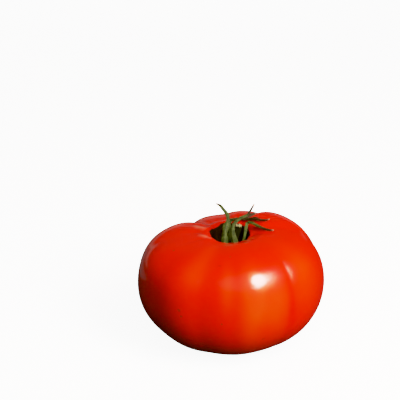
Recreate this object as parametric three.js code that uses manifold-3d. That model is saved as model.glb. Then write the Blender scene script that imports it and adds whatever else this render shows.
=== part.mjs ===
// A ripe beefsteak tomato as picked: the ribbed fruit with its sunken stem end, the green calyx that
// stands in the stem cavity, and the short stub of fruit stalk that broke off above the calyx.
// Millimetres, +Z up. The fruit stands on z = 0 with its flat resting spot centred on the origin.

import * as THREE from 'three';
import { mergeVertices } from 'three/addons/utils/BufferGeometryUtils.js';
import Module from 'manifold-3d';

const wasm = await Module();
wasm.setup();

// Fruit: the radii and heights that its outline passes through
const REST_RADIUS = 11;
const EQUATOR_RADIUS = 46.3;
const EQUATOR_HEIGHT = 32.9;
const CREST_RADIUS = 17.5;
const CREST_HEIGHT = 58.6;
const MOUTH_RADIUS = 8.9;
const MOUTH_HEIGHT = 54;
const CAVITY_FLOOR = 40;

// Fruit: how far each stretch of the outline reaches towards its corner, from its start and from its end
const FLANK_REACH = [0.51, 0.615];
const SHOULDER_REACH = [0.51, 0.85];
const LIP_REACH = [0.97, 0.93];
const CAVITY_REACH = [0.6, 0.6];

// Fruit: how the round body departs from a turned shape
const BELLY_SHIFT = 1.3;
const BELLY_OVAL = 1.55;
const BELLY_OVAL_ANGLE = 12;
const CROWN_TILT = 2.5;
const CROWN_TILT_ANGLE = -10.5;
const MOUTH_SHIFT = { x: 0.4, y: 0.7 };
const LIP_TILT = 1;
const RIB_BLEND_ANGLE = 17;
const COLUMNS = 120;

// Fruit: where along the outline the creases pass over to their depth at the mouth, and where the lip
// levels out. The outline counts 0 to 1 up the flank, to 2 over the shoulder and to 3 into the mouth.
const CREASES_TURN_IN = { from: 1.35, to: 2.15 };
const LIP_LEVELS = { from: 1.8, to: 2.4 };

// Fruit: each rib starts at a crease, counted counter-clockwise from +X in degrees. The crease has its
// depth on the shoulder, the shares of it at the equator and at the mouth, its width and the rounding of
// its bottom. The rise is how much higher that rib's shoulder stands.
const RIBS = [
  { crease: 11.7, depth: 2.2, atEquator: 0.39, atMouth: 0.2, width: 9, rounding: 3, rise: 2.75 },
  { crease: 59.5, depth: 2.45, atEquator: 0.35, atMouth: 0.25, width: 7, rounding: 2, rise: 0.8 },
  { crease: 93.7, depth: 1.15, atEquator: 0.34, atMouth: 0.2, width: 7, rounding: 2, rise: -1.1 },
  { crease: 125.5, depth: 4.1, atEquator: 0.37, atMouth: 0, width: 5, rounding: 5, rise: 0.45 },
  { crease: 182, depth: 1.05, atEquator: 0.43, atMouth: 0, width: 9, rounding: 4, rise: 0.55 },
  { crease: 219.5, depth: 0.6, atEquator: 0.15, atMouth: 0, width: 8, rounding: 4, rise: 0.5 },
  { crease: 252, depth: 0.9, atEquator: 0.6, atMouth: 0, width: 7, rounding: 3, rise: 0.5 },
  { crease: 273.5, depth: 0.8, atEquator: 0.6, atMouth: 0, width: 6, rounding: 2.5, rise: 0.5 },
  { crease: 313.2, depth: 0.6, atEquator: 1, atMouth: 0, width: 4.5, rounding: 1.2, rise: 0.05 },
];

// Calyx: the disc that the sepals grow from, and how finely the sepals are stepped
const DISC_RADIUS = 5.2;
const DISC_HALF_HEIGHT = 2;
const DISC_HEIGHT = 43.5;
const DISC_SIDES = 20;
const DISC_RINGS = 8;
const SEPAL_SIDES = 8;
const SEPAL_STEPS = 20;

// Calyx: the middle line of each sepal from root to tip as [x, y, z, width, thickness], and the plan
// angle of its width at the root and at the tip.
const SEPALS = {
  upright: {
    across: [0, 30],
    line: [[-1.5, -2.5, 43.5, 3.4, 2.2], [-2.1, -5.6, 51.5, 3.2, 2.2], [-2.2, -5.4, 57, 3.6, 2.2],
      [-2.1, -4.5, 59.7, 2.2, 1.6], [-1.65, -3, 62.5, 3.3, 1.2], [-1, -2, 63.9, 2.6, 1],
      [-0.7, -0.8, 65.5, 1.7, 0.9], [-0.9, 0.4, 67.7, 1.8, 0.8], [-2.8, 2.4, 69.7, 1.8, 0.7],
      [-4.6, 4.2, 71.2, 1.5, 0.6], [-6.6, 5.5, 71.7, 0.8, 0.6]],
  },
  arched: {
    across: [0, -60],
    line: [[2.5, -2.5, 43.5, 4.4, 2], [3.2, -5.6, 53, 3.8, 1.6], [2.4, -5.4, 57, 3.6, 1.5],
      [1.8, -4.7, 59.7, 2.7, 1.3], [1.7, -3.2, 62.8, 2.2, 1.1], [2.9, -1.6, 64.5, 1.7, 1],
      [5.2, 0.8, 65.8, 2, 0.9], [8, 2.7, 66.4, 1.8, 0.8], [9.2, 3.5, 66.9, 1.2, 0.7],
      [10.6, 4.6, 68.6, 1.3, 0.7], [12.4, 6, 71.5, 0.8, 0.6]],
  },
  right: {
    across: [45, 60],
    line: [[3, 0, 43.5, 4, 1.8], [6.5, 0.4, 51, 2.6, 1.2], [7.7, 0.9, 54.8, 2.1, 1],
      [8.2, 1.9, 57.8, 2.1, 1], [8.7, 3.2, 60.6, 2.2, 1], [9.4, 4.2, 62, 2.3, 1],
      [11.4, 4.2, 61.9, 2.4, 0.9], [14.5, 1.8, 61.3, 2.2, 0.8], [17.8, -1.1, 61.1, 1.6, 0.7],
      [20, -2.2, 61.1, 1.2, 0.7], [22.2, -3, 61.2, 0.8, 0.6]],
  },
  right_back: {
    across: [20, 90],
    line: [[1, 2.6, 43.5, 4, 1.8], [0.4, 6.6, 51.5, 3.4, 1.2], [-0.2, 8, 56.5, 3, 1],
      [0.2, 9.2, 59.8, 2.6, 1], [2.2, 10.4, 60.9, 2.2, 0.9], [6, 11, 61.1, 2, 0.9],
      [10.2, 10.2, 61.4, 2.2, 0.9], [12.9, 8.6, 62.5, 2.6, 1], [15, 7, 62.6, 1.6, 0.8],
      [18, 6, 62.8, 1.3, 0.7], [20.3, 6.4, 63.1, 0.8, 0.6]],
  },
  back: {
    across: [0, -55],
    line: [[-0.8, 2.6, 43.5, 4, 1.8], [-2.2, 6.8, 51, 3.4, 1.2], [-1.8, 8, 57.2, 3.2, 1],
      [0.4, 10.4, 60.4, 2.6, 1], [4, 12.2, 60.6, 2.4, 0.9], [8, 13.6, 61.2, 2.8, 0.9],
      [11.3, 14.8, 62.05, 2.4, 0.8], [13.6, 15.6, 62.4, 0.8, 0.6]],
  },
};

// Stalk stub: its middle line from the calyx to the torn end as [x, y, z, diameter]
const STUB_SIDES = 12;
const STUB_STEPS = 8;
const STUB_LINE = [
  [0, 0.8, 46.5, 3.6], [0.8, 0.9, 50, 3.2], [3.4, 1.5, 56, 3.2],
  [4.6, 2, 59.8, 3], [4.8, 2.1, 61.5, 3],
];

/** The angle from one plan direction to another, in degrees between -180 and 180. */
function angleBetween(from, to) {
  return THREE.MathUtils.euclideanModulo(to - from + 180, 360) - 180;
}

/** Welds a geometry's shared vertices and drops the triangles that close up at its poles. */
function weld(geometry) {
  geometry.deleteAttribute('normal');
  geometry.deleteAttribute('uv');
  const welded = mergeVertices(geometry, 1e-4);
  const corners = welded.index.array;
  const kept = [];
  for (let i = 0; i < corners.length; i += 3) {
    const [a, b, c] = corners.slice(i, i + 3);
    if (a !== b && b !== c && c !== a) {
      kept.push(a, b, c);
    }
  }
  welded.setIndex(kept);
  return welded;
}

/** Turns a closed geometry into a solid that can be joined to others. */
function solid(geometry) {
  const welded = weld(geometry);
  return new wasm.Manifold(new wasm.Mesh({
    numProp: 3,
    vertProperties: Float32Array.from(welded.attributes.position.array),
    triVerts: Uint32Array.from(welded.index.array),
  }));
}

/** Turns a solid back into a geometry with normals. */
function geometryOf(body) {
  const { vertProperties, triVerts } = body.getMesh();
  const geometry = new THREE.BufferGeometry();
  geometry.setAttribute('position', new THREE.BufferAttribute(vertProperties, 3));
  geometry.setIndex(new THREE.BufferAttribute(triVerts, 1));
  geometry.computeVertexNormals();
  return geometry;
}

/** A bump of height 1 round a plan angle, in degrees. */
function bell(angle, middle, width) {
  return Math.exp(-((angleBetween(middle, angle) / width) ** 2));
}

/** A valley of depth 1 at a plan angle, with flanks that level off and a rounded bottom. */
function cusp(angle, middle, width, rounding) {
  const turn = Math.hypot(angleBetween(middle, angle), rounding) - rounding;
  return Math.exp(-turn / width);
}

/** How far the belly swells, the crown and lip rise and the creases sink at a plan angle in degrees. */
function ribForm(angle) {
  const turn = THREE.MathUtils.degToRad(angle);
  const oval = 2 * (turn - THREE.MathUtils.degToRad(BELLY_OVAL_ANGLE));
  const tilt = turn - THREE.MathUtils.degToRad(CROWN_TILT_ANGLE);
  const form = { equator: 0, shoulder: 0, mouth: 0 };
  let risen = 0;
  let shares = 0;
  RIBS.forEach((rib, i) => {
    const next = RIBS[(i + 1) % RIBS.length];
    const span = THREE.MathUtils.euclideanModulo(next.crease - rib.crease, 360);
    const share = bell(angle, rib.crease + span / 2, RIB_BLEND_ANGLE);
    const sunk = rib.depth * cusp(angle, rib.crease, rib.width, rib.rounding);
    form.equator += sunk * rib.atEquator;
    form.shoulder += sunk;
    form.mouth += sunk * rib.atMouth;
    risen += share * rib.rise;
    shares += share;
  });
  form.belly = BELLY_SHIFT * Math.cos(turn) + BELLY_OVAL * Math.cos(oval);
  form.rise = CROWN_TILT * Math.cos(tilt) + risen / shares;
  form.lip = LIP_TILT * Math.sin(turn);
  return form;
}

/** How strongly each of those forms acts at a place along the outline. */
function sharesAt(along) {
  const up = THREE.MathUtils.smoothstep(along, 0, 1);
  const over = THREE.MathUtils.smoothstep(along, 1, 2);
  const down = THREE.MathUtils.smoothstep(along, 3, 4);
  const inward = THREE.MathUtils.smoothstep(along, CREASES_TURN_IN.from, CREASES_TURN_IN.to);
  const level = THREE.MathUtils.smoothstep(along, LIP_LEVELS.from, LIP_LEVELS.to);
  return {
    belly: up * (1 - over),
    equator: up * (1 - over),
    shoulder: over * (1 - inward),
    mouth: over * inward * (1 - down),
    rise: over * (1 - level),
    lip: level * (1 - down),
  };
}

/** A curve in the half plane of radius and height, drawn towards a corner by a reach from either end. */
function turnCorner(start, corner, end, reach) {
  const [a, b, c] = [start, corner, end].map(([radius, height]) => new THREE.Vector2(radius, height));
  return new THREE.CubicBezierCurve(a, a.clone().lerp(b, reach[0]), c.clone().lerp(b, reach[1]), c);
}

/** The fruit's outline from the edge of the resting spot to the middle of the cavity floor. */
function fruitOutline() {
  const rest = [REST_RADIUS, 0];
  const equator = [EQUATOR_RADIUS, EQUATOR_HEIGHT];
  const crest = [CREST_RADIUS, CREST_HEIGHT];
  const mouth = [MOUTH_RADIUS, MOUTH_HEIGHT];
  const floor = [0, CAVITY_FLOOR];
  return [
    { rows: 9, curve: turnCorner(rest, [EQUATOR_RADIUS, 0], equator, FLANK_REACH) },
    { rows: 12, curve: turnCorner(equator, [EQUATOR_RADIUS, CREST_HEIGHT], crest, SHOULDER_REACH) },
    { rows: 9, curve: turnCorner(crest, [MOUTH_RADIUS, CREST_HEIGHT], mouth, LIP_REACH) },
    { rows: 6, curve: turnCorner(mouth, [MOUTH_RADIUS, CAVITY_FLOOR], floor, CAVITY_REACH) },
  ];
}

/** The fruit: a turned outline whose points then move out with the belly and in with the creases. */
function makeFruit() {
  const pole = { point: new THREE.Vector2(0, 0), outward: new THREE.Vector2(0, -1), shares: sharesAt(0) };
  const stations = [pole];
  fruitOutline().forEach(({ rows, curve }, order) => {
    for (let row = order === 0 ? 0 : 1; row <= rows; row += 1) {
      const s = row / rows;
      const along = curve.getTangent(s);
      stations.push({
        point: curve.getPoint(s),
        outward: new THREE.Vector2(along.y, -along.x),
        shares: sharesAt(order + s),
      });
    }
  });
  const geometry = new THREE.LatheGeometry(stations.map((station) => station.point), COLUMNS);
  const position = geometry.attributes.position;
  for (let i = 0; i < position.count; i += 1) {
    const column = Math.floor(i / stations.length) % COLUMNS;
    const { point, outward, shares } = stations[i % stations.length];
    const angle = (360 * column) / COLUMNS;
    const form = ribForm(angle);
    const sunk = shares.equator * form.equator + shares.shoulder * form.shoulder + shares.mouth * form.mouth;
    const swell = shares.belly * form.belly - sunk;
    const radius = point.x + outward.x * swell;
    const height = point.y + outward.y * swell + shares.rise * form.rise + shares.lip * form.lip;
    const turn = THREE.MathUtils.degToRad(angle);
    const x = radius * Math.cos(turn) + shares.lip * MOUTH_SHIFT.x;
    const y = radius * Math.sin(turn) + shares.lip * MOUTH_SHIFT.y;
    position.setXYZ(i, x, y, height);
  }
  return geometryOf(solid(geometry));
}

/** A smooth curve through points. */
function curveThrough(points) {
  return new THREE.CatmullRomCurve3(points, false, 'catmullrom', 0.5);
}

/** A straight rod bent along a line of [x, y, z, width, thickness] points. A round rod has no thickness. */
function bentRod(line, sides, steps, across) {
  const path = curveThrough(line.map(([x, y, z]) => new THREE.Vector3(x, y, z)));
  const sizes = curveThrough(line.map((point) => new THREE.Vector3(point[3], point[4] ?? point[3], 0)));
  const rod = new THREE.CylinderGeometry(1, 1, 1, sides, steps);
  const position = rod.attributes.position;
  for (let i = 0; i < position.count; i += 1) {
    const s = position.getY(i) + 0.5;
    const turn = THREE.MathUtils.degToRad(THREE.MathUtils.lerp(across[0], across[1], s));
    const along = path.getTangent(s);
    const side = new THREE.Vector3(Math.cos(turn), Math.sin(turn), 0);
    side.addScaledVector(along, -side.dot(along)).normalize();
    const face = new THREE.Vector3().crossVectors(side, along);
    const size = sizes.getPoint(s);
    const point = path.getPoint(s);
    point.addScaledVector(side, (position.getX(i) * size.x) / 2);
    point.addScaledVector(face, (position.getZ(i) * size.y) / 2);
    position.setXYZ(i, point.x, point.y, point.z);
  }
  return rod;
}

/** The calyx: a low round disc with the sepals' roots sunk in it. */
function makeCalyx() {
  const disc = new THREE.SphereGeometry(DISC_RADIUS, DISC_SIDES, DISC_RINGS);
  disc.rotateX(Math.PI / 2);
  disc.scale(1, 1, DISC_HALF_HEIGHT / DISC_RADIUS);
  disc.translate(0, 0, DISC_HEIGHT);
  let calyx = solid(disc);
  for (const { line, across } of Object.values(SEPALS)) {
    calyx = calyx.add(solid(bentRod(line, SEPAL_SIDES, SEPAL_STEPS, across)));
  }
  return geometryOf(calyx);
}

/** The stalk stub: a round rod that leans out of the calyx to its torn end. */
function makeStub() {
  return geometryOf(solid(bentRod(STUB_LINE, STUB_SIDES, STUB_STEPS, [0, 0])));
}

const ripeSkin = new THREE.MeshStandardMaterial({ color: 0xe0260c, roughness: 0.25, metalness: 0 });
const greenSepal = new THREE.MeshStandardMaterial({ color: 0x52652a, roughness: 0.6, metalness: 0 });
const greenStalk = new THREE.MeshStandardMaterial({ color: 0x6b7a3c, roughness: 0.6, metalness: 0 });

const tomato = new THREE.Group();
const pieces = {
  fruit: [makeFruit(), ripeSkin],
  calyx: [makeCalyx(), greenSepal],
  stem_stub: [makeStub(), greenStalk],
};
for (const [name, [geometry, material]] of Object.entries(pieces)) {
  const mesh = new THREE.Mesh(geometry, material);
  mesh.name = name;
  tomato.add(mesh);
}

export default tomato;
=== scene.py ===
"""A ripe beefsteak tomato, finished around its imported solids: fruit, calyx and stalk stub."""

import bpy
import numpy as np
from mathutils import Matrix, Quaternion, Vector


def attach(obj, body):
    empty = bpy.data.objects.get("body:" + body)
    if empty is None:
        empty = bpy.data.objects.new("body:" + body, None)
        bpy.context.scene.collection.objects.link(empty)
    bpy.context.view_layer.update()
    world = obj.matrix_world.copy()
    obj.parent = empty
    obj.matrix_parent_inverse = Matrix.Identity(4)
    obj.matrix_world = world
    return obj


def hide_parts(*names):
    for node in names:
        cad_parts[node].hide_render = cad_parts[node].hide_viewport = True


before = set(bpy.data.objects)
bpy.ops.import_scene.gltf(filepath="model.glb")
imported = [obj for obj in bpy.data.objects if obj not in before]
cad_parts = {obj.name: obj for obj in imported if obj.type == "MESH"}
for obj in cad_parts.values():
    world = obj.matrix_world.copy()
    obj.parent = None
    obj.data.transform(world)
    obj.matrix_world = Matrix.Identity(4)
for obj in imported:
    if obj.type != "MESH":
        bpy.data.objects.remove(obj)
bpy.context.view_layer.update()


# Fruit
# The fruit is one body of flesh under a thin waxy skin. Creases part it into ribs that run down from the
# sunken stem end, and it stands on the flat of its blossom end.

STAND_RADIUS = 0.011
EQUATOR_RADIUS = 0.0463
EQUATOR_HEIGHT = 0.0329
CREST_RADIUS = 0.0175
CREST_HEIGHT = 0.0586
MOUTH_RADIUS = 0.0089
MOUTH_HEIGHT = 0.054
CAVITY_FLOOR = 0.040
MOUTH_SHIFT = (0.0004, 0.0007)
LIP_TILT = 0.0010
BELLY_SHIFT = 0.0013
BELLY_OVAL = 0.00155
BELLY_OVAL_ANGLE = 12
CROWN_TILT = 0.0025
CROWN_TILT_ANGLE = -10.5
RIB_BLEND_ANGLE = 17
BLOSSOM_DENT = 0.0006
BLOSSOM_DENT_RADIUS = 0.0018
UNEVEN_HEIGHT = 0.00008
UNEVEN_WAVES = 12
UNEVEN_TURNS = (2, 10)
UNEVEN_CLIMB = 2
UNEVEN_SEED = 7
FRUIT_COLUMNS = 384

# The outline's five curves: the resting spot, the flank, the shoulder, the throat and the cavity. Each has
# its count of rows, and past the first its two handles, as shares of its width and its height.
OUTLINE_ROWS = (16, 60, 80, 50, 24)
FLANK_HANDLES = (0.51, 0.385)
SHOULDER_HANDLES = (0.51, 0.85)
THROAT_HANDLES = (0.97, 0.93)
CAVITY_HANDLES = (0.6, 0.6)

# Places along the outline, counted in curves from the middle of the resting spot. The crest of the crown is
# at 3 and the middle of the cavity floor at 5. A ramp is the place where a change starts, and its length.
SPOT_EDGE = 1
EQUATOR = 2
MOUTH = 4
LIP_RAMP = (2.8, 0.6)
INWARD_RAMP = (2.35, 0.8)
PUCKER_RAMP = (2.7, 0.45)
PUCKER_END_RAMP = (3.45, 0.3)
UNEVEN_END = 3.5
FOLD_END = 3.2
CAVITY_START = 3.38

# Where the skin's colours change: the ramps of the crown's red and of the throat's dark brown, partly cork
# and partly painted shade, which starts later round one plan angle, and the crease depth and fold height
# that have their painted crease shade and painted fold highlight in full.
CROWN_RED_RAMP = (2.35, 0.5)
THROAT_RAMP = (3.4, 0.5)
THROAT_LAG = 0.15
THROAT_LAG_ANGLE = 140
THROAT_LAG_WIDTH = 18
FULL_CREASE_DEPTH = 0.0012
FULL_FOLD_HEIGHT = 0.0006

# The colours of the skin and of the cavity's wall, how strongly some of them tint it, and how rough it is.
RIPE_RED = (0.80, 0.0075, 0.0001, 1)
# The band orange is partly the skin's own and partly painted sheen round the highlight.
BAND_ORANGE_AND_SHEEN = (0.82, 0.056, 0.005, 1)
GRAIN_ORANGE = (0.82, 0.045, 0.001, 1)
GRAIN_TINT = 0.08
# The crease red is painted shade that darkens the creases.
CREASE_SHADE_RED = (0.66, 0.004, 0.0002, 1)
CREASE_SHADE_TINT = 0.45
CROWN_RED = (0.68, 0.010, 0.0001, 1)
CROWN_TINT = 0.55
# The fold pink is a painted highlight along the crown's folds.
FOLD_HIGHLIGHT_PINK = (0.80, 0.14, 0.075, 1)
# The throat brown is partly corky skin and partly painted shade in the cavity.
THROAT_CORK_AND_SHADE = (0.012, 0.004, 0.001, 1)
SCAR_BROWN = (0.16, 0.025, 0.004, 1)
SCAR_TINT = 0.6
SCAR_RAGGED = 0.0016
SKIN_ROUGHNESS = (0.15, 0.19)
# The wall's near black is partly cork and partly painted shade deep in the cavity.
WALL_CORK_SHADE_DARK = (0.006, 0.002, 0.0005, 1)
WALL_CORK_SHADE_PALE = (0.020, 0.006, 0.001, 1)
WALL_EDGE_RED = (0.55, 0.005, 0.0002, 1)

# One row for each crease, round from the right-hand side: its plan angle, its depth on the shoulder, the
# shares of that depth at the equator and at the mouth, its width, and how rounded its bottom is.
CREASES = np.array([
    (11.7, 0.0022, 0.39, 0.2, 9.0, 3.0),
    (59.5, 0.00245, 0.35, 0.25, 7.0, 2.0),
    (93.7, 0.00115, 0.34, 0.2, 7.0, 2.0),
    (125.5, 0.0041, 0.37, 0.0, 5.0, 5.0),
    (182.0, 0.00105, 0.43, 0.0, 9.0, 4.0),
    (219.5, 0.0006, 0.15, 0.0, 8.0, 4.0),
    (252.0, 0.0009, 0.60, 0.0, 7.0, 3.0),
    (273.5, 0.0008, 0.60, 0.0, 6.0, 2.5),
    (313.2, 0.0006, 1.0, 0.0, 4.5, 1.2),
])

# How much higher the shoulder of the rib that follows each crease stands.
RIB_RISES = np.array([0.00275, 0.0008, -0.0011, 0.00045, 0.00055, 0.0005, 0.0005, 0.0005, 0.00005])

# The orange bands down the ribs, partly the skin's own orange and partly painted sheen round the highlight:
# plan angle, half width, place along the outline, half length and strength. A strength below nought is a
# line of plain red between two bands, here painted shade along a crease.
BLUSHES_AND_SHEEN = np.array([
    (36, 18, 2.2, 0.45, 0.4),
    (77, 13, 2.1, 0.45, 0.5),
    (110, 13, 2.2, 0.45, 0.4),
    (155, 20, 2.3, 0.45, 0.3),
    (201, 14, 2.2, 0.45, 0.1),
    (246, 9, 2.72, 0.3, 0.9),
    (269.5, 4.5, 2.42, 0.26, 0.9),
    # This band is painted sheen round the key's highlight.
    (286, 9, 2.45, 0.22, 1.1),
    (286, 8, 2.1, 0.34, 0.9),
    (301, 9, 2.12, 0.34, 0.75),
    # This line of plain red is painted shade along the crease at 313 degrees.
    (312, 2.5, 2.1, 0.4, -0.3),
    (326, 15, 2.42, 0.4, 0.58),
])

# Small brown scars in the skin, and the corky scar of the blossom: place and radius.
BLEMISHES = [
    ((-0.0271, -0.0157, 0.0554), 0.0007),
    ((-0.0234, -0.0392, 0.0350), 0.0009),
    ((-0.0222, -0.0398, 0.0322), 0.0006),
    ((0.0007, -0.0280, 0.0584), 0.0005),
    ((-0.0030, -0.0444, 0.0308), 0.0005),
    ((0.0449, -0.0039, 0.0476), 0.0008),
    ((0.0, 0.0, 0.0), 0.0034),
]

# The folds that pucker the skin round the mouth: plan angle, depth and width.
PUCKERS = np.array([
    (22, 0.0004, 6), (75, 0.0004, 6), (110, 0.0003, 5), (146, 0.0003, 5), (172, 0.0006, 7),
    (205, 0.0003, 5), (262, 0.00015, 6), (301, 0.0003, 4), (322, 0.0003, 5), (345, 0.0002, 5),
])

# The low folds on the crown, tinted paler as a painted highlight: the plan points where each starts and
# ends, its height and half width.
CROWN_FOLDS = [
    ((-0.0160, -0.0010), (-0.0082, -0.0070), 0.0004, 0.0011),
    ((-0.0190, 0.0125), (-0.0115, 0.0032), 0.0006, 0.0014),
]


def eased(s):
    """Rises from 0 to 1 with no slope at either end: three s squared less two s cubed, s held in 0 to 1."""
    s = np.clip(s, 0, 1)
    return s * s * (3 - 2 * s)


def ramp(place, start, length):
    """Rises from 0 to 1, eased, over a length from its start."""
    return eased((place - start) / length)


def turn_between(angle, middle):
    """The turn from one plan angle to another, from -180 to 180 degrees."""
    return (angle - middle + 180) % 360 - 180


def bell(angle, middle, width):
    """A bump of height 1 round a plan angle: e to the minus square of (turn from the middle over width)."""
    return np.exp(-(turn_between(angle, middle) / width) ** 2)


def cusp(angle, middle, width, rounding):
    """A valley of depth 1 with flanks that level off: e to the minus turn over width, its bottom rounded.

    The turn is the long side of a right triangle over the true turn and the rounding, less the rounding.
    """
    turn = np.hypot(turn_between(angle, middle), rounding) - rounding
    return np.exp(-turn / width)


def bend(s, ends):
    """Points and outward normals along a cubic curve of four (radius, height) points, at the shares s.

    The point is (1-s)^3 a + 3(1-s)^2 s b + 3(1-s) s^2 c + s^3 d, and the normal is its slope turned
    a quarter to the right.
    """
    a, b, c, d = (np.array(end)[None, :] for end in ends)
    t = s[:, None]
    point = (1 - t) ** 3 * a + 3 * (1 - t) ** 2 * t * b + 3 * (1 - t) * t ** 2 * c + t ** 3 * d
    slope = (1 - t) ** 2 * (b - a) + 2 * (1 - t) * t * (c - b) + t ** 2 * (d - c)
    normal = np.stack([slope[:, 1], -slope[:, 0]], axis=1)
    return point, normal / np.linalg.norm(normal, axis=1, keepdims=True)


def rib_form(angle):
    """How the fruit departs from a turned shape at plan angles in degrees.

    The belly is one swell to the side and one oval, and the rise is the crown's tilt with each rib's own
    height blended by bells. The creases are sums of cusps times depths: at the equator, on the shoulder
    and at the mouth.
    """
    crease_at, depth, at_equator, at_mouth, width, rounding = CREASES.T[:, :, None]
    middle = crease_at + ((np.roll(crease_at, -1, axis=0) - crease_at) % 360) / 2
    share = bell(angle, middle, RIB_BLEND_ANGLE)
    turn = np.radians(angle)
    belly = BELLY_SHIFT * np.cos(turn) + BELLY_OVAL * np.cos(2 * (turn - np.radians(BELLY_OVAL_ANGLE)))
    tilt = CROWN_TILT * np.cos(turn - np.radians(CROWN_TILT_ANGLE))
    crown = tilt + (share * RIB_RISES[:, None]).sum(0) / share.sum(0)
    shoulder = depth * cusp(angle, crease_at, width, rounding)
    creases = [(part * shoulder).sum(0) for part in (at_equator, 1, at_mouth)]
    return belly, crown, creases


def rib_blush_and_sheen(angle, along):
    """How orange the skin is, from 0 to 1, partly its own orange and partly painted sheen.

    It is the sum of the bands' strengths, each times a bell of the plan angle and a bell along the outline.
    """
    middle, width, level, length, strength = BLUSHES_AND_SHEEN.T[:, :, None, None]
    down_rib = np.exp(-((along[:, None] - level) / length) ** 2)
    return np.clip((strength * down_rib * bell(angle, middle, width)).sum(0), 0, 1)


def puckered(angle, along):
    """The folds round the mouth: bells of the plan angle that fade in over the crown and end at the lip."""
    middle, depth, width = PUCKERS.T[:, :, None]
    folds = (depth * bell(angle, middle, width)).sum(0)
    reach = ramp(along, *PUCKER_RAMP) * (1 - ramp(along, *PUCKER_END_RAMP))
    return reach[:, None] * folds


def crown_folds(place):
    """The folds' height at plan places: a bell of the distance to each fold's line, fading to both its ends.

    The share t along the line is the place's shadow on it, and the fade is four t (1 - t).
    """
    height = 0
    for start, end, rise, width in CROWN_FOLDS:
        start, end = np.array(start), np.array(end)
        step = end - start
        share = np.clip(((place - start) @ step) / (step @ step), 0, 1)
        distance = np.linalg.norm(place - start - share[..., None] * step, axis=-1)
        height = height + rise * 4 * share * (1 - share) * np.exp(-(distance / width) ** 2)
    return height


def fruit_outline():
    """The outline from the middle of the resting spot to the middle of the cavity floor, row by row.

    Returns points and normals in (radius, height), the places along the outline, and how strongly the belly,
    the crown, the lip and the three sets of creases act on each row. The rows follow five curves, from the
    flat spot up to the equator, over the shoulder to the crest, into the mouth and down to the floor.
    """
    flank = EQUATOR_RADIUS - STAND_RADIUS
    shoulder = EQUATOR_RADIUS - CREST_RADIUS
    rise = CREST_HEIGHT - EQUATOR_HEIGHT
    throat = CREST_RADIUS - MOUTH_RADIUS
    drop = CREST_HEIGHT - MOUTH_HEIGHT
    depth = MOUTH_HEIGHT - CAVITY_FLOOR
    spot_edge = (STAND_RADIUS, 0)
    equator = (EQUATOR_RADIUS, EQUATOR_HEIGHT)
    crest = (CREST_RADIUS, CREST_HEIGHT)
    mouth = (MOUTH_RADIUS, MOUTH_HEIGHT)
    curves = [
        [(0, 0), (STAND_RADIUS / 3, 0), (STAND_RADIUS * 2 / 3, 0), spot_edge],
        [spot_edge, (STAND_RADIUS + FLANK_HANDLES[0] * flank, 0),
         (EQUATOR_RADIUS, FLANK_HANDLES[1] * EQUATOR_HEIGHT), equator],
        [equator, (EQUATOR_RADIUS, EQUATOR_HEIGHT + SHOULDER_HANDLES[0] * rise),
         (CREST_RADIUS + SHOULDER_HANDLES[1] * shoulder, CREST_HEIGHT), crest],
        [crest, (CREST_RADIUS - THROAT_HANDLES[0] * throat, CREST_HEIGHT),
         (MOUTH_RADIUS, MOUTH_HEIGHT + THROAT_HANDLES[1] * drop), mouth],
        [mouth, (MOUTH_RADIUS, MOUTH_HEIGHT - CAVITY_HANDLES[0] * depth),
         (CAVITY_HANDLES[1] * MOUTH_RADIUS, CAVITY_FLOOR), (0, CAVITY_FLOOR)],
    ]
    points, normals, places = [], [], []
    for order, (rows, ends) in enumerate(zip(OUTLINE_ROWS, curves)):
        s = np.arange(1, rows + 1) / rows
        point, normal = bend(s, ends)
        points.append(point)
        normals.append(normal)
        places.append(order + s)
    along = np.concatenate(places)
    up, over, down = (eased(along - place) for place in (SPOT_EDGE, EQUATOR, MOUTH))
    belly = up * (1 - over)
    lip = ramp(along, *LIP_RAMP)
    crown = over * (1 - lip)
    lip = lip * (1 - down)
    inward = ramp(along, *INWARD_RAMP)
    creases = [up * (1 - over), over * (1 - inward), over * inward * (1 - down)]
    return np.concatenate(points), np.concatenate(normals), along, belly, crown, lip, creases


def ring_faces(rings, columns):
    """The faces of a closed skin of rings with a pole before the first and a pole after the last.

    Vertices are numbered ring by ring, then the two poles. Each face is listed so that it looks out
    when the rings climb and the columns run counter-clockwise.
    """
    here = np.arange(columns)
    after = np.roll(here, -1)
    start = (np.arange(rings - 1) * columns)[:, None]
    quads = np.stack([start + here, start + after, start + columns + after, start + columns + here], axis=-1)
    first_pole = rings * columns
    top = (rings - 1) * columns
    bottom_fan = np.stack([np.full(columns, first_pole), after, here], axis=-1)
    top_fan = np.stack([np.full(columns, first_pole + 1), top + here, top + after], axis=-1)
    return quads.reshape(-1, 4).tolist() + bottom_fan.tolist() + top_fan.tolist()


def piece_from(name, vertices, faces, material, values):
    """A smooth mesh object at the origin, with its values stored point by point for its material."""
    mesh = bpy.data.meshes.new(name)
    mesh.from_pydata(vertices.tolist(), [], faces)
    mesh.polygons.foreach_set("use_smooth", np.ones(len(mesh.polygons), bool))
    for label, value in values.items():
        stored = mesh.attributes.new(label, "FLOAT", "POINT")
        stored.data.foreach_set("value", np.asarray(value, np.float32))
    mesh.materials.append(material)
    piece = bpy.data.objects.new(name, mesh)
    bpy.context.scene.collection.objects.link(piece)
    return piece


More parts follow.
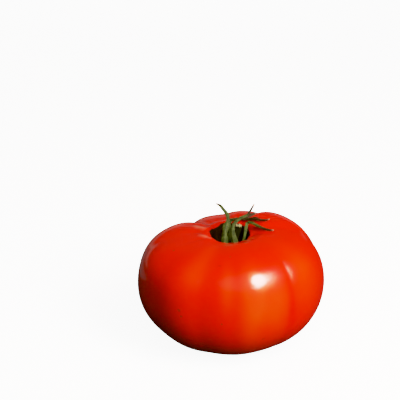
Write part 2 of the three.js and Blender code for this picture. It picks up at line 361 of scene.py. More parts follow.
def make_fruit_skin():
    """The fruit's surface on a grid of outline rows and plan angles.

    Each outline point moves along its normal by the belly less the creases and the puckers, with a slight
    unevenness, and up by the crown, the folds and the dent of the blossom end, a bell of the radius. The
    lip moves back and tilts with the sine of the angle. The unevenness is a sum of seeded waves that close
    on themselves round the fruit. Returns vertices, faces, the material's values, and which faces are
    the cavity's wall.
    """
    point, normal, along, belly_share, crown_share, lip_share, crease_shares = fruit_outline()
    angle = np.arange(FRUIT_COLUMNS) * 360 / FRUIT_COLUMNS
    turn = np.radians(angle)
    belly, crown, creases = rib_form(angle)
    draw = np.random.default_rng(UNEVEN_SEED)
    turns = draw.integers(*UNEVEN_TURNS, UNEVEN_WAVES)[:, None, None]
    climbs = draw.uniform(-UNEVEN_CLIMB, UNEVEN_CLIMB, UNEVEN_WAVES)[:, None, None]
    shifts = draw.uniform(0, 2 * np.pi, UNEVEN_WAVES)[:, None, None]
    phase = turns * turn + climbs * along[:, None] + shifts
    uneven_share = eased(along - SPOT_EDGE) - eased(along - UNEVEN_END)
    uneven = UNEVEN_HEIGHT * np.cos(phase).sum(0) * uneven_share[:, None]
    crease = sum(share[:, None] * depth for share, depth in zip(crease_shares, creases))
    swell = belly_share[:, None] * belly - crease - puckered(angle, along) + uneven
    dent = BLOSSOM_DENT * np.exp(-(point[:, :1] / BLOSSOM_DENT_RADIUS) ** 2) * (along < EQUATOR)[:, None]
    radius = point[:, :1] + normal[:, :1] * swell
    height = (point[:, 1:] + normal[:, 1:] * swell + crown_share[:, None] * crown + dent
              + lip_share[:, None] * LIP_TILT * np.sin(turn))
    across, back = (lip_share[:, None] * shift for shift in MOUTH_SHIFT)
    plan = np.stack([radius * np.cos(turn) + across, radius * np.sin(turn) + back], axis=-1)
    fold_share = eased(along - EQUATOR) - eased(along - FOLD_END)
    folds = fold_share[:, None] * crown_folds(plan)
    skin = np.concatenate([plan, (height + folds)[:, :, None]], axis=-1)
    rings = skin[:-1].reshape(-1, 3)
    poles = np.array([[0, 0, BLOSSOM_DENT], [0, 0, CAVITY_FLOOR]])
    throat_start, throat_length = THROAT_RAMP
    lag = THROAT_LAG * bell(angle, THROAT_LAG_ANGLE, THROAT_LAG_WIDTH)
    values = {
        "throat": np.clip((along[:-1, None] - throat_start - lag) / throat_length, 0, 1),
        "crown": ramp(along[:-1], *CROWN_RED_RAMP)[:, None] * np.ones(len(angle)),
        "crease_shade": np.clip(crease[:-1] / FULL_CREASE_DEPTH, 0, 1),
        "blush_and_sheen": rib_blush_and_sheen(angle, along[:-1]),
        "fold": np.clip(folds[:-1] / FULL_FOLD_HEIGHT, 0, 1),
    }
    values = {label: np.append(value.ravel(), [0, value[-1, 0]]) for label, value in values.items()}
    cavity = np.append(np.repeat(along[1:-1] > CAVITY_START, len(angle)), np.zeros(len(angle)))
    cavity = np.append(cavity, np.ones(len(angle))).astype(np.int32)
    return np.vstack([rings, poles]), ring_faces(len(skin) - 1, len(angle)), values, cavity


def add_node(tree, kind, **settings):
    """Adds a shader node and sets its properties."""
    made = tree.nodes.new(kind)
    for name, value in settings.items():
        setattr(made, name, value)
    return made


def plug(tree, target, source):
    """Links a source socket to a target socket, or sets the target to a plain value."""
    if isinstance(source, bpy.types.NodeSocket):
        tree.links.new(source, target)
    else:
        target.default_value = source


def noise(tree, vector, scale, detail=2.0):
    """A noise value from 0 to 1 over a vector."""
    made = add_node(tree, "ShaderNodeTexNoise")
    plug(tree, made.inputs["Vector"], vector)
    made.inputs["Scale"].default_value = scale
    made.inputs["Detail"].default_value = detail
    return made.outputs["Fac"]


def calculate(tree, operation, *sources):
    """One step of arithmetic on values."""
    made = add_node(tree, "ShaderNodeMath", operation=operation)
    for socket, source in zip(made.inputs, sources):
        plug(tree, socket, source)
    return made.outputs[0]


def remap(tree, value, low, high, to_low=0.0, to_high=1.0):
    """Stretches a value smoothly from one range to another and holds it there."""
    made = add_node(tree, "ShaderNodeMapRange", interpolation_type="SMOOTHSTEP")
    for name, source in zip(("Value", "From Min", "From Max", "To Min", "To Max"),
                            (value, low, high, to_low, to_high)):
        plug(tree, made.inputs[name], source)
    return made.outputs["Result"]


def mix_colour(tree, factor, first, second):
    """Blends two colours by a factor. The node's inputs 6 and 7 and its output 2 are the ones for colours."""
    made = add_node(tree, "ShaderNodeMix", data_type="RGBA")
    plug(tree, made.inputs[0], factor)
    plug(tree, made.inputs[6], first)
    plug(tree, made.inputs[7], second)
    return made.outputs[2]


def attribute(tree, name):
    """A value that the mesh stores point by point."""
    return add_node(tree, "ShaderNodeAttribute", attribute_name=name).outputs["Fac"]


def distance_to(tree, place, spot):
    """How far each place is from a spot."""
    made = add_node(tree, "ShaderNodeVectorMath", operation="DISTANCE")
    plug(tree, made.inputs[0], place)
    made.inputs[1].default_value = spot
    return made.outputs["Value"]


def new_material(name):
    """An empty node material with one Principled shader, and its tree."""
    material = bpy.data.materials.new(name)
    material.use_nodes = True
    tree = material.node_tree
    return material, tree, tree.nodes["Principled BSDF"]


def add_relief(tree, shader, height, strength, depth):
    """Fine relief: tilts the shader's normal by a height value, for a depth in metres."""
    bump = add_node(tree, "ShaderNodeBump")
    bump.inputs["Strength"].default_value = strength
    bump.inputs["Distance"].default_value = depth
    plug(tree, bump.inputs["Height"], height)
    plug(tree, shader.inputs["Normal"], bump.outputs["Normal"])


def throat_mask(tree, place):
    """Where the skin gives way to the dark wall of the stem cavity, partly painted shade, with a patchy edge.
    """
    patchy = calculate(tree, "SUBTRACT", noise(tree, place, scale=170), 0.5)
    patchy = calculate(tree, "MULTIPLY", patchy, 0.5)
    return remap(tree, calculate(tree, "ADD", attribute(tree, "throat"), patchy), low=0.1, high=0.26)


def make_ripe_skin():
    """Waxy tomato skin: painted shade of deep red in creases, orange ribs partly painted sheen, cavity dark
    partly painted shade.
    """
    material, tree, shader = new_material("ripe_skin")
    place = add_node(tree, "ShaderNodeTexCoord").outputs["Object"]
    cloud = noise(tree, place, scale=55, detail=3.0)
    grain = noise(tree, place, scale=420)
    cloudy = remap(tree, cloud, low=0.25, high=0.75, to_low=0.6)
    # Orange bands, partly the skin's own and partly painted sheen round the highlight.
    blush_and_sheen = calculate(tree, "MULTIPLY", attribute(tree, "blush_and_sheen"), cloudy)
    colour = mix_colour(tree, blush_and_sheen, RIPE_RED, BAND_ORANGE_AND_SHEEN)
    grainy = remap(tree, grain, low=0.35, high=0.75, to_high=GRAIN_TINT)
    colour = mix_colour(tree, grainy, colour, GRAIN_ORANGE)
    # Painted shade: the creases are darkened towards a deeper red.
    crease_shade = calculate(tree, "MULTIPLY", attribute(tree, "crease_shade"), CREASE_SHADE_TINT)
    colour = mix_colour(tree, crease_shade, colour, CREASE_SHADE_RED)
    crown = calculate(tree, "MULTIPLY", attribute(tree, "crown"), CROWN_TINT)
    colour = mix_colour(tree, crown, colour, CROWN_RED)
    # Painted highlight: the crown's folds are tinted pale pink.
    colour = mix_colour(tree, attribute(tree, "fold"), colour, FOLD_HIGHLIGHT_PINK)
    throat = throat_mask(tree, place)
    # Painted shade: the cavity darkens to a corky near black.
    colour = mix_colour(tree, throat, colour, THROAT_CORK_AND_SHADE)
    ragged = calculate(tree, "SUBTRACT", noise(tree, place, scale=900, detail=3.0), 0.5)
    ragged = calculate(tree, "MULTIPLY", ragged, SCAR_RAGGED)
    for spot, size in BLEMISHES:
        near = calculate(tree, "ADD", distance_to(tree, place, spot), ragged)
        scar = remap(tree, near, low=0.5 * size, high=1.2 * size, to_low=SCAR_TINT, to_high=0.0)
        colour = mix_colour(tree, scar, colour, SCAR_BROWN)
    plug(tree, shader.inputs["Base Color"], colour)
    plug(tree, shader.inputs["Roughness"], remap(tree, cloud, 0.2, 0.8, *SKIN_ROUGHNESS))
    shader.inputs["IOR"].default_value = 1.5
    shader.inputs["Specular IOR Level"].default_value = 0.8
    shader.inputs["Subsurface Weight"].default_value = 0.08
    shader.inputs["Subsurface Radius"].default_value = (1.0, 0.3, 0.15)
    shader.inputs["Subsurface Scale"].default_value = 0.003
    cork = noise(tree, place, scale=800, detail=3.0)
    cork = calculate(tree, "MULTIPLY", cork, calculate(tree, "MULTIPLY", throat, 4.0))
    height = calculate(tree, "ADD", noise(tree, place, scale=260, detail=3.0), cork)
    add_relief(tree, shader, height, strength=0.12, depth=0.0005)
    return material


def make_cavity_wall():
    """The wall of the stem cavity: dark, partly cork and partly painted shade, dull and corky."""
    material, tree, shader = new_material("cavity_wall")
    place = add_node(tree, "ShaderNodeTexCoord").outputs["Object"]
    cork = noise(tree, place, scale=800, detail=3.0)
    wall = mix_colour(tree, remap(tree, cork, low=0.35, high=0.7), WALL_CORK_SHADE_DARK, WALL_CORK_SHADE_PALE)
    wall = mix_colour(tree, throat_mask(tree, place), WALL_EDGE_RED, wall)
    plug(tree, shader.inputs["Base Color"], wall)
    shader.inputs["Roughness"].default_value = 0.8
    shader.inputs["Specular IOR Level"].default_value = 0.05
    add_relief(tree, shader, cork, strength=0.5, depth=0.0005)
    return material


fruit_vertices, fruit_faces, fruit_values, fruit_cavity = make_fruit_skin()
fruit = piece_from("tomato_fruit", fruit_vertices, fruit_faces, make_ripe_skin(), fruit_values)
fruit.data.materials.append(make_cavity_wall())
fruit.data.polygons.foreach_set("material_index", fruit_cavity)
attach(fruit, "root")
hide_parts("fruit")


# Calyx
# The calyx is the green star that held the flower: a low disc on the cavity floor with five leafy sepals,
# some standing up out of the cavity and some bent over its rim. Their tips have dried brown.

DISC_RADIUS = 0.0052
DISC_HALF_HEIGHT = 0.002
DISC_HEIGHT = 0.0435
SEPAL_COLUMNS = 32
SEPAL_ROWS = 110
SEPAL_EDGE_WAVE = 0.07
SEPAL_EDGE_WAVES = (4, 6)
SEPAL_EDGE_LAG = 0.2
SEPAL_CUP_LEVEL = 0.4
MIDRIB_OUTER_HEIGHT = 0.4
MIDRIB_INNER_HEIGHT = -0.15
MIDRIB_WIDTH = 0.22
HAIRS_ON_EACH_SEPAL = 420
HAIR_RADIUS = 0.000018
HAIR_LENGTHS = (0.00025, 0.0006)
HAIR_SPREAD = 0.35
HAIR_LEAN = 0.5
HAIR_SIDESTEP = 0.1
METRES_PER_MILLIMETRE = 0.001

SEPAL_DARK = (0.014, 0.025, 0.0016, 1)
SEPAL_LIGHT = (0.062, 0.088, 0.014, 1)
VEIN_GREEN = (0.10, 0.13, 0.03, 1)
VEIN_TINT = 0.35
VEIN_TURN = 22.0
MIDRIB_GREEN = (0.12, 0.15, 0.045, 1)
MIDRIB_TINT = 0.5
DRY_BROWN = (0.04, 0.017, 0.004, 1)
DRY_RAGGED = 0.8
TIP_TAN = (0.42, 0.20, 0.11, 1)
HAIR_GREEN = (0.20, 0.25, 0.07, 1)
HAIR_TAN = (0.28, 0.17, 0.08, 1)

# For each sepal the plan angles of its width at root and tip, how far its edges cup, the share of its length
# where it starts to dry, and its middle line from root to tip in millimetres as (x, y, z, width, thickness).
SEPALS = {
    "upright": (0, 30, 0.10, 0.86, [
        (-1.5, -2.5, 43.5, 3.4, 2.2), (-2.1, -5.6, 51.5, 3.2, 2.2), (-2.2, -5.4, 57, 3.6, 2.2),
        (-2.1, -4.5, 59.7, 2.2, 1.6), (-1.65, -3, 62.5, 3.3, 1.2), (-1, -2, 63.9, 2.6, 1),
        (-0.7, -0.8, 65.5, 1.7, 0.9), (-0.9, 0.4, 67.7, 1.8, 0.8), (-2.8, 2.4, 69.7, 1.8, 0.7),
        (-4.6, 4.2, 71.2, 1.5, 0.6), (-6.6, 5.5, 71.7, 0.8, 0.6)]),
    "arched": (0, -60, 0.12, 0.72, [
        (2.5, -2.5, 43.5, 4.4, 2), (3.2, -5.6, 53, 3.8, 1.6), (2.4, -5.4, 57, 3.6, 1.5),
        (1.8, -4.7, 59.7, 2.7, 1.3), (1.7, -3.2, 62.8, 2.2, 1.1), (2.9, -1.6, 64.5, 1.7, 1),
        (5.2, 0.8, 65.8, 2, 0.9), (8, 2.7, 66.4, 1.8, 0.8), (9.2, 3.5, 66.9, 1.2, 0.7),
        (10.6, 4.6, 68.6, 1.3, 0.7), (12.4, 6, 71.5, 0.8, 0.6)]),
    "right": (45, 60, 0.15, 0.65, [
        (3, 0, 43.5, 4, 1.8), (6.5, 0.4, 51, 2.6, 1.2), (7.7, 0.9, 54.8, 2.1, 1), (8.2, 1.9, 57.8, 2.1, 1),
        (8.7, 3.2, 60.6, 2.2, 1), (9.4, 4.2, 62, 2.3, 1), (11.4, 4.2, 61.9, 2.4, 0.9),
        (14.5, 1.8, 61.3, 2.2, 0.8), (17.8, -1.1, 61.1, 1.6, 0.7), (20, -2.2, 61.1, 1.2, 0.7),
        (22.2, -3, 61.2, 0.8, 0.6)]),
    "right_back": (20, 90, 0.2, 0.25, [
        (1, 2.6, 43.5, 4, 1.8), (0.4, 6.6, 51.5, 3.4, 1.2), (-0.2, 8, 56.5, 3, 1), (0.2, 9.2, 59.8, 2.6, 1),
        (2.2, 10.4, 60.9, 2.2, 0.9), (6, 11, 61.1, 2, 0.9), (10.2, 10.2, 61.4, 2.2, 0.9),
        (12.9, 8.6, 62.5, 2.6, 1), (15, 7, 62.6, 1.6, 0.8), (18, 6, 62.8, 1.3, 0.7),
        (20.3, 6.4, 63.1, 0.8, 0.6)]),
    "back": (0, -55, 0.2, 0.35, [
        (-0.8, 2.6, 43.5, 4, 1.8), (-2.2, 6.8, 51, 3.4, 1.2), (-1.8, 8, 57.2, 3.2, 1),
        (0.4, 10.4, 60.4, 2.6, 1), (4, 12.2, 60.6, 2.4, 0.9), (8, 13.6, 61.2, 2.8, 0.9),
        (11.3, 14.8, 62.05, 2.4, 0.8), (13.6, 15.6, 62.4, 0.8, 0.6)]),
}


def spline(line, s):
    """Points and directions at shares s of a smooth curve through the rows of a line, in metres.

    Between two rows the curve is the cubic with each row's slope set to half the step between its
    neighbours. The ends are carried on straight.
    """
    rows = np.array(line, float)
    rows = np.vstack([2 * rows[0] - rows[1], rows, 2 * rows[-1] - rows[-2]])
    at = np.clip(s, 0, 1) * (len(line) - 1)
    cell = np.minimum(at.astype(int), len(line) - 2)
    t = (at - cell)[:, None]
    before, start, end, later = (rows[cell + k] for k in range(4))
    leave, arrive = (end - before) / 2, (later - start) / 2
    point = ((2 * t ** 3 - 3 * t ** 2 + 1) * start + (t ** 3 - 2 * t ** 2 + t) * leave
             + (3 * t ** 2 - 2 * t ** 3) * end + (t ** 3 - t ** 2) * arrive)
    slope = ((6 * t ** 2 - 6 * t) * (start - end) + (3 * t ** 2 - 4 * t + 1) * leave
             + (3 * t ** 2 - 2 * t) * arrive)[:, :3]
    return point * METRES_PER_MILLIMETRE, slope / np.linalg.norm(slope, axis=1, keepdims=True)


def carried_section(line, root_angle, tip_angle, s):
    """What a section carried along a line needs: its points with their sizes, and three directions.

    The side direction turns evenly in plan from the root's angle to the tip's, and is then set square to
    the line. The face direction is square to both.
    """
    point, along = spline(line, s)
    turn = np.radians(root_angle + (tip_angle - root_angle) * s)
    side = np.stack([np.cos(turn), np.sin(turn), 0 * turn], axis=1)
    side -= (side * along).sum(1, keepdims=True) * along
    side /= np.linalg.norm(side, axis=1, keepdims=True)
    return point[:, :3], point[:, 3:], side, np.cross(side, along), along


def sepal_grid(root_angle, tip_angle, cup, line, draw):
    """One sepal's skin as a grid of rows from root to tip and columns round its section.

    Round the section the width goes with the cosine and the thickness with the sine, with a raised
    midrib on the outer face. The edges fold towards the inner face and wave along it, less where the
    sepal is as thick as it is wide.
    """
    s = np.linspace(0, 1, SEPAL_ROWS)
    middle, size, side, face, along = carried_section(line, root_angle, tip_angle, s)
    width, thickness = size[:, :1], size[:, 1:]
    turn = np.arange(SEPAL_COLUMNS) * 2 * np.pi / SEPAL_COLUMNS
    out, thick = np.cos(turn), np.sin(turn)
    leafy = 1 - np.clip(thickness / width, 0, 1)
    waves = draw.uniform(*SEPAL_EDGE_WAVES)
    start = draw.uniform()
    wave = np.sin(2 * np.pi * (waves * s[:, None] + np.sign(out) * SEPAL_EDGE_LAG + start))
    lift = leafy * width * (SEPAL_EDGE_WAVE * wave * out ** 4 - cup * (np.abs(out) - SEPAL_CUP_LEVEL))
    rib_height = np.where(thick > 0, MIDRIB_OUTER_HEIGHT, MIDRIB_INNER_HEIGHT)
    rib = rib_height * thickness / 2 * np.exp(-(out / MIDRIB_WIDTH) ** 2) * leafy
    depth = thickness / 2 * thick + lift + rib
    blade = (middle[:, None, :] + side[:, None, :] * (out * width / 2)[:, :, None]
             + face[:, None, :] * depth[:, :, None])
    return s, out, middle, along, blade


def make_sepal(root_angle, tip_angle, cup, dry_from, line, draw):
    """One sepal as a closed blade, with how far each point is along and across it, and how dry it is.

    The dryness climbs evenly from nought where the sepal starts to dry to 1 at its tip.
    """
    s, out, middle, _, blade = sepal_grid(root_angle, tip_angle, cup, line, draw)
    vertices = np.vstack([blade.reshape(-1, 3), middle[:1], middle[-1:]])
    dry = np.clip((s - dry_from) / (1 - dry_from), 0, 1)
    values = {
        "along": np.append(np.repeat(s, SEPAL_COLUMNS), [0, 1]),
        "across": np.append(np.tile(out, SEPAL_ROWS), [0, 0]),
        "dry": np.append(np.repeat(dry, SEPAL_COLUMNS), [0, 1]),
    }
    return vertices, ring_faces(SEPAL_ROWS, SEPAL_COLUMNS), values


def make_disc():
    """The calyx disc: a flattened ball, its height going with the sine and its radius with the cosine."""
    rows, columns = 24, 64
    climb = np.linspace(-np.pi / 2, np.pi / 2, rows + 2)[1:-1]
    turn = np.arange(columns) * 2 * np.pi / columns
    radius = DISC_RADIUS * np.cos(climb)[:, None] * np.ones(columns)
    height = DISC_HEIGHT + DISC_HALF_HEIGHT * np.sin(climb)[:, None] * np.ones(columns)
    rings = np.stack([radius * np.cos(turn), radius * np.sin(turn), height], axis=-1).reshape(-1, 3)
    poles = [[0, 0, DISC_HEIGHT - DISC_HALF_HEIGHT], [0, 0, DISC_HEIGHT + DISC_HALF_HEIGHT]]
    flat = np.zeros(rows * columns + 2)
    return np.vstack([rings, poles]), ring_faces(rows, columns), {"along": flat, "across": flat, "dry": flat}


def make_hairs(root_angle, tip_angle, cup, line, draw):
    """Short hairs over the upper two thirds of one sepal, as closed spikes with three sides.

    Each stands at a drawn point of the grid, points away from the sepal's middle line and leans towards
    the tip. Its three foot points lie round its own axis, a third of a turn apart. A small step aside keeps
    the first of them defined where a hair lies along the sepal.
    """
    s, _, middle, along, blade = sepal_grid(root_angle, tip_angle, cup, line, draw)
    count = HAIRS_ON_EACH_SEPAL
    row = draw.integers(SEPAL_ROWS // 3, SEPAL_ROWS - 2, count)
    foot = blade[row, draw.integers(0, SEPAL_COLUMNS, count)]
    away = foot - middle[row]
    away /= np.linalg.norm(away, axis=1, keepdims=True)
    lean = draw.normal(0, HAIR_SPREAD, (count, 3)) + along[row] * draw.uniform(0, HAIR_LEAN, (count, 1))
    axis = away + lean
    axis /= np.linalg.norm(axis, axis=1, keepdims=True)
    first = np.cross(axis, along[row] + HAIR_SIDESTEP)
    first /= np.linalg.norm(first, axis=1, keepdims=True)
    second = np.cross(axis, first)
    turn = np.arange(3) * 2 * np.pi / 3
    ring = np.cos(turn)[:, None] * first[:, None, :] + np.sin(turn)[:, None] * second[:, None, :]
    length = draw.uniform(*HAIR_LENGTHS, (count, 1))
    feet = foot[:, None, :] - axis[:, None, :] * 2 * HAIR_RADIUS + HAIR_RADIUS * ring
    vertices = np.concatenate([feet, (foot + axis * length)[:, None, :]], axis=1).reshape(-1, 3)
    corners = np.array([(0, 2, 1), (0, 1, 3), (1, 2, 3), (2, 0, 3)])
    faces = (4 * np.arange(count)[:, None, None] + corners).reshape(-1, 3).tolist()
    return vertices, faces, {"along": np.repeat(s[row], 4)}


def joined(parts):
    """Several closed skins as one: the faces of each are counted on from the vertices before it."""
    starts = np.cumsum([0] + [len(part[0]) for part in parts]).tolist()
    vertices = np.vstack([part[0] for part in parts])
    faces = [
        [corner + start for corner in face]
        for start, part in zip(starts, parts) for face in part[1]
    ]
    values = {label: np.concatenate([part[2][label] for part in parts]) for label in parts[0][2]}
    return vertices, faces, values


def make_leaf_mottling():
    """A node group for green plant skin: patches of light and dark, and a fine grain."""
    group = bpy.data.node_groups.new("leaf_mottling", "ShaderNodeTree")
    group.interface.new_socket("Vector", in_out="INPUT", socket_type="NodeSocketVector")
    group.interface.new_socket("Dark", in_out="INPUT", socket_type="NodeSocketColor")
    group.interface.new_socket("Light", in_out="INPUT", socket_type="NodeSocketColor")
    group.interface.new_socket("Color", in_out="OUTPUT", socket_type="NodeSocketColor")
    group.interface.new_socket("Height", in_out="OUTPUT", socket_type="NodeSocketFloat")
    given = add_node(group, "NodeGroupInput")
    result = add_node(group, "NodeGroupOutput")
    patch = noise(group, given.outputs["Vector"], scale=520, detail=3.0)
    grain = noise(group, given.outputs["Vector"], scale=2600)
    patch = calculate(group, "MULTIPLY", patch, 0.7)
    grain = calculate(group, "MULTIPLY", grain, 0.3)
    blend = calculate(group, "ADD", patch, grain)
    tone = remap(group, blend, low=0.38, high=0.62)
    colour = mix_colour(group, tone, given.outputs["Dark"], given.outputs["Light"])
    group.links.new(colour, result.inputs["Color"])
    group.links.new(blend, result.inputs["Height"])
    return group


def place_mottling(tree, group, dark, light):
    """Puts the mottling into a material with its own two greens."""
    made = add_node(tree, "ShaderNodeGroup", node_tree=group)
    plug(tree, made.inputs["Vector"], add_node(tree, "ShaderNodeTexCoord").outputs["Object"])
    made.inputs["Dark"].default_value = dark
    made.inputs["Light"].default_value = light
    return made.outputs["Color"], made.outputs["Height"]


def make_sepal_green(group):
    """Sepal skin: green with a pale midrib and fine veins along it, brown towards the dry tip."""
    material, tree, shader = new_material("sepal_green")
    colour, height = place_mottling(tree, group, SEPAL_DARK, SEPAL_LIGHT)
    across = calculate(tree, "ABSOLUTE", attribute(tree, "across"))
    veins = calculate(tree, "COSINE", calculate(tree, "MULTIPLY", across, VEIN_TURN))
    veined = remap(tree, veins, low=0.4, high=1.0, to_high=VEIN_TINT)
    colour = mix_colour(tree, veined, colour, VEIN_GREEN)
    midrib = remap(tree, across, low=0.0, high=0.2, to_low=MIDRIB_TINT, to_high=0.0)
    colour = mix_colour(tree, midrib, colour, MIDRIB_GREEN)
    along = attribute(tree, "along")
    ragged = calculate(tree, "MULTIPLY", height, DRY_RAGGED)
    dry = calculate(tree, "ADD", attribute(tree, "dry"), ragged)
    colour = mix_colour(tree, remap(tree, dry, low=0.4, high=0.9), colour, DRY_BROWN)
    colour = mix_colour(tree, remap(tree, along, low=0.94, high=1.0), colour, TIP_TAN)
    plug(tree, shader.inputs["Base Color"], colour)
    shader.inputs["Roughness"].default_value = 0.55
    shader.inputs["Specular IOR Level"].default_value = 0.15
    height = calculate(tree, "ADD", height, calculate(tree, "MULTIPLY", veins, 0.2))
    add_relief(tree, shader, height, strength=0.5, depth=0.0002)
    return material


def make_hair_green():
    """The hairs' glassy pale green, browner towards the sepal's tip."""
    material, tree, shader = new_material("hair_pale_green")
    tone = remap(tree, attribute(tree, "along"), low=0.4, high=1.0)
    plug(tree, shader.inputs["Base Color"], mix_colour(tree, tone, HAIR_GREEN, HAIR_TAN))
    shader.inputs["Roughness"].default_value = 0.4
    return material


leaf_mottling = make_leaf_mottling()
calyx_parts = [make_disc()]
hair_parts = []
for seed, (root_angle, tip_angle, cup, dry_from, line) in enumerate(SEPALS.values()):
    calyx_parts.append(make_sepal(root_angle, tip_angle, cup, dry_from, line, np.random.default_rng(seed)))
    hair_parts.append(make_hairs(root_angle, tip_angle, cup, line, np.random.default_rng(seed)))
calyx_vertices, calyx_faces, calyx_values = joined(calyx_parts)
calyx = piece_from("tomato_calyx", calyx_vertices, calyx_faces, make_sepal_green(leaf_mottling), calyx_values)
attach(calyx, "root")
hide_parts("calyx")
hair_vertices, hair_faces, hair_values = joined(hair_parts)
hairs = piece_from("tomato_sepal_hairs", hair_vertices, hair_faces, make_hair_green(), hair_values)
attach(hairs, "root")


# Stalk stub
# The stub is what is left of the fruit stalk above the calyx. It is round, with its green painted near
# black as shade, and pale and fibrous where it was torn from the truss.

# The stub's middle line from root to end in millimetres, as (x, y, z, width, thickness).
STUB_LINE = [
    (0, 0.8, 46.5, 3.6, 3.6), (0.8, 0.9, 50, 3.2, 3.2), (3.4, 1.5, 56, 3.2, 3.2), (4.6, 2, 59.8, 3, 3),
    (4.8, 2.1, 61.5, 3, 3),
]
STUB_ROWS = 60
STUB_CAP_ROWS = 10
STUB_COLUMNS = 64
STUB_FLUTES = 5
STUB_FLUTE_DEPTH = 0.05
STUB_TEAR = 0.0007
STUB_TEAR_GRAIN = 0.3
STUB_TEAR_RAMP = (0.85, 0.15)
STUB_TEAR_SEED = 11
STUB_HOLLOW = 0.0009

# The stalk's greens are painted near black as shade.
STALK_SHADE_DARK = (0.003, 0.004, 0.0006, 1)
STALK_SHADE_LIGHT = (0.010, 0.012, 0.002, 1)
TORN_CREAM = (0.40, 0.36, 0.17, 1)
TORN_RAMP = (0.93, 0.06)
TORN_RIM = 0.7
TORN_MIDDLE = 0.3


def make_stub():
    """The stub's skin: a circle carried along its middle line and closed by a hollow, ragged end.

    The radius is fluted by a small cosine of the turn. Near the end each column runs on by its own drawn
    length, which makes the torn fibres. The cap's rings shrink evenly to the middle and sink by one less
    the square of their share of the radius.
    """
    share = np.append(np.ones(STUB_ROWS), 1 - np.arange(1, STUB_CAP_ROWS + 1) / (STUB_CAP_ROWS + 1))
    s = np.append(np.linspace(0, 1, STUB_ROWS), np.ones(STUB_CAP_ROWS))
    middle, size, side, face, along = carried_section(STUB_LINE, 0, 0, s)
    turn = np.arange(STUB_COLUMNS) * 2 * np.pi / STUB_COLUMNS
    draw = np.random.default_rng(STUB_TEAR_SEED)
    radius = share[:, None] * size[:, :1] / 2 * (1 + STUB_FLUTE_DEPTH * np.cos(STUB_FLUTES * turn))
    fibre = draw.uniform(-1, 1, STUB_COLUMNS)
    grain = draw.uniform(-STUB_TEAR_GRAIN, STUB_TEAR_GRAIN, (len(s), STUB_COLUMNS)) * (share < 1)[:, None]
    torn = STUB_TEAR * (ramp(s, *STUB_TEAR_RAMP) * share)[:, None] * (fibre + grain)
    sunk = STUB_HOLLOW * (1 - share ** 2)[:, None]
    skin = (middle[:, None, :] + along[:, None, :] * (torn - sunk)[:, :, None]
            + side[:, None, :] * (radius * np.cos(turn))[:, :, None]
            + face[:, None, :] * (radius * np.sin(turn))[:, :, None])
    end = middle[-1:] - along[-1:] * STUB_HOLLOW
    vertices = np.vstack([skin.reshape(-1, 3), middle[:1], end])
    pale = np.repeat(ramp(s, *TORN_RAMP) * TORN_RIM + (1 - share) * TORN_MIDDLE, STUB_COLUMNS)
    return vertices, ring_faces(len(s), STUB_COLUMNS), {"torn": np.append(pale, [0, 1])}


def make_stalk_painted_shade(group):
    """Stalk skin: green painted near black as shade, with pale cream fibres at the torn end."""
    material, tree, shader = new_material("stalk_painted_shade")
    colour, height = place_mottling(tree, group, STALK_SHADE_DARK, STALK_SHADE_LIGHT)
    torn = remap(tree, attribute(tree, "torn"), low=0.1, high=0.6)
    colour = mix_colour(tree, torn, colour, TORN_CREAM)
    plug(tree, shader.inputs["Base Color"], colour)
    shader.inputs["Roughness"].default_value = 0.6
    shader.inputs["Specular IOR Level"].default_value = 0.1
    add_relief(tree, shader, height, strength=0.5, depth=0.0002)
    return material


stub_vertices, stub_faces, stub_values = make_stub()
stalk_painted_shade = make_stalk_painted_shade(leaf_mottling)
stub = piece_from("tomato_stalk_stub", stub_vertices, stub_faces, stalk_painted_shade, stub_values)
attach(stub, "root")
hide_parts("stem_stub")


# Stage
# A plain pale floor and soft lights: a key to the front right, with a warm halo and a glint that only
# reflections show, a fill in front, and behind the fruit a back light, a thin low rim and a glow on the
# floor. The camera looks down from the front.

FLOOR_HALF = 4.0
FLOOR_SEEN = (0.8, 0.8, 0.8, 1)
FLOOR_UNSEEN = (0.02, 0.02, 0.02, 1)
FLOOR_GLOW = 1.4
SURROUND_STRENGTH = 0.01
KEY_TOWARDS = Vector((0.585, -0.525, 0.62))
KEY_DISTANCE = 1.0
KEY_SIZE = (0.42, 0.70)
KEY_POWER = 9.4
KEY_ROLL = -20
KEY_COLOUR = (1.0, 0.97, 0.94)
HALO_SIZE = (0.62, 1.05)
HALO_POWER = 3.3
HALO_COLOUR = (1.0, 0.58, 0.12)
GLINT_TOWARDS = Vector((0.56, -0.545, 0.62))
GLINT_DISTANCE = 0.95
GLINT_SIZE = (0.34, 0.46)
GLINT_POWER = 3.0
FILL_TOWARDS = Vector((0.04, -0.70, 0.71))
FILL_DISTANCE = 1.2
FILL_SIZE = (1.0, 1.0)
FILL_POWER = 4.8
RIM_TOWARDS = Vector((-0.28, 0.96, 0.04))
RIM_DISTANCE = 1.2
RIM_SIZE = (2.2, 0.18)
RIM_POWER = 0.2
RIM_COLOUR = (1.0, 0.85, 0.7)
BOUNCE_PLACE = Vector((-0.17, 0.26, 0.001))
BOUNCE_SIZE = (0.26, 0.42)
BOUNCE_POWER = 0.018
BACK_TOWARDS = Vector((-0.05, 0.97, 0.22))
BACK_DISTANCE = 1.3
BACK_SIZE = (1.2, 1.2)
BACK_POWER = 4.5
CAMERA_TARGET = Vector((0, 0, 0.032))
CAMERA_DISTANCE = 0.52
CAMERA_ELEVATION = 27
CAMERA_AIM_RIGHT = -0.0152
CAMERA_AIM_UP = 0.0406
CAMERA_LENS = 91.1
FILM_BLACK = (0.0, 0.001, 0.004)
FILM_WHITE = 4.0
FILM_CURVE = [(0.1, 0.18), (0.25, 0.42), (0.5, 0.70), (0.75, 0.82), (1.0, 0.875), (2.0, 0.975)]


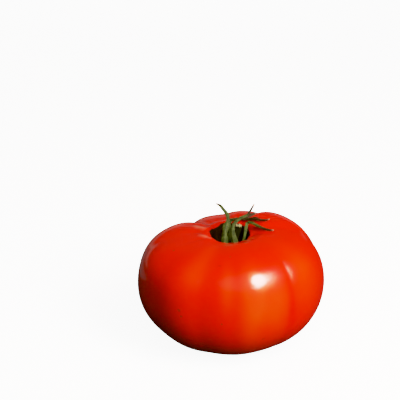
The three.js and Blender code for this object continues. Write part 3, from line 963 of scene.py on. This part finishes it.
def make_floor():
    """A floor that the camera sees as near white, and that throws little light back up."""
    half = FLOOR_HALF
    mesh = bpy.data.meshes.new("floor")
    corners = [(-half, -half, 0), (half, -half, 0), (half, half, 0), (-half, half, 0)]
    mesh.from_pydata(corners, [], [(0, 1, 2, 3)])
    floor = bpy.data.objects.new("floor", mesh)
    bpy.context.scene.collection.objects.link(floor)
    material, tree, shader = new_material("pale_floor")
    shader.inputs["Roughness"].default_value = 0.9
    shader.inputs["Specular IOR Level"].default_value = 0.0
    shader.inputs["Emission Color"].default_value = (1, 1, 1, 1)
    seen = add_node(tree, "ShaderNodeLightPath").outputs["Is Camera Ray"]
    plug(tree, shader.inputs["Base Color"], mix_colour(tree, seen, FLOOR_UNSEEN, FLOOR_SEEN))
    plug(tree, shader.inputs["Emission Strength"], calculate(tree, "MULTIPLY", seen, FLOOR_GLOW))
    mesh.materials.append(material)


def add_soft_light(name, towards, distance, size, power):
    """A soft box of a light that faces the fruit from a direction."""
    light = bpy.data.lights.new(name, "AREA")
    light.shape = "ELLIPSE"
    light.size, light.size_y = size
    light.energy = power
    lamp = bpy.data.objects.new(name, light)
    lamp.location = CAMERA_TARGET + towards.normalized() * distance
    lamp.rotation_mode = "QUATERNION"
    lamp.rotation_quaternion = towards.to_track_quat("Z", "Y")
    bpy.context.scene.collection.objects.link(lamp)
    return lamp


def add_camera():
    """The camera on the front side, aimed a little left of and above the fruit's middle."""
    tilt = np.radians(CAMERA_ELEVATION)
    back = Vector((0, -np.cos(tilt), np.sin(tilt)))
    up = Vector((0, np.sin(tilt), np.cos(tilt)))
    camera = bpy.data.objects.new("camera", bpy.data.cameras.new("camera"))
    camera.data.lens = CAMERA_LENS
    camera.data.clip_start = 0.01
    camera.location = CAMERA_TARGET + back * CAMERA_DISTANCE
    aim = CAMERA_TARGET + Vector((CAMERA_AIM_RIGHT, 0, 0)) + up * CAMERA_AIM_UP
    camera.rotation_mode = "QUATERNION"
    camera.rotation_quaternion = (aim - camera.location).to_track_quat("-Z", "Y")
    bpy.context.scene.collection.objects.link(camera)
    bpy.context.scene.camera = camera


def set_dim_world():
    """A dim even surround."""
    world = bpy.data.worlds.new("studio")
    world.use_nodes = True
    surround = world.node_tree.nodes["Background"]
    surround.inputs["Color"].default_value = (1, 1, 1, 1)
    surround.inputs["Strength"].default_value = SURROUND_STRENGTH
    bpy.context.scene.world = world


def set_film_curve():
    """A film-like response: dark tones are lifted, and bright ones level off towards white.

    Of the view's four curves the last acts on all colours alike.
    """
    view = bpy.context.scene.view_settings
    view.view_transform = "Standard"
    view.use_curve_mapping = True
    view.curve_mapping.clip_max_x = FILM_WHITE
    curve = view.curve_mapping.curves[3]
    curve.points[-1].location = (FILM_WHITE, 1.0)
    for light, tone in FILM_CURVE:
        curve.points.new(light, tone)
    view.curve_mapping.black_level = FILM_BLACK
    view.curve_mapping.update()


make_floor()
key_light = add_soft_light("key_light", KEY_TOWARDS, KEY_DISTANCE, KEY_SIZE, KEY_POWER)
key_light.data.color = KEY_COLOUR
key_light.rotation_quaternion @= Quaternion((0, 0, 1), np.radians(KEY_ROLL))
key_halo = add_soft_light("key_halo", KEY_TOWARDS, KEY_DISTANCE, HALO_SIZE, HALO_POWER)
key_halo.data.color = HALO_COLOUR
glint = add_soft_light("glint", GLINT_TOWARDS, GLINT_DISTANCE, GLINT_SIZE, GLINT_POWER)
glint.visible_diffuse = False
fill_light = add_soft_light("fill_light", FILL_TOWARDS, FILL_DISTANCE, FILL_SIZE, FILL_POWER)
fill_light.visible_glossy = False
rim_light = add_soft_light("rim_light", RIM_TOWARDS, RIM_DISTANCE, RIM_SIZE, RIM_POWER)
rim_light.data.color = RIM_COLOUR
floor_bounce = add_soft_light("floor_bounce", Vector((0, 0, -1)), 0, BOUNCE_SIZE, BOUNCE_POWER)
floor_bounce.location = BOUNCE_PLACE
floor_bounce.visible_camera = False
back_light = add_soft_light("back_light", BACK_TOWARDS, BACK_DISTANCE, BACK_SIZE, BACK_POWER)
back_light.visible_glossy = False
add_camera()
set_dim_world()
set_film_curve()
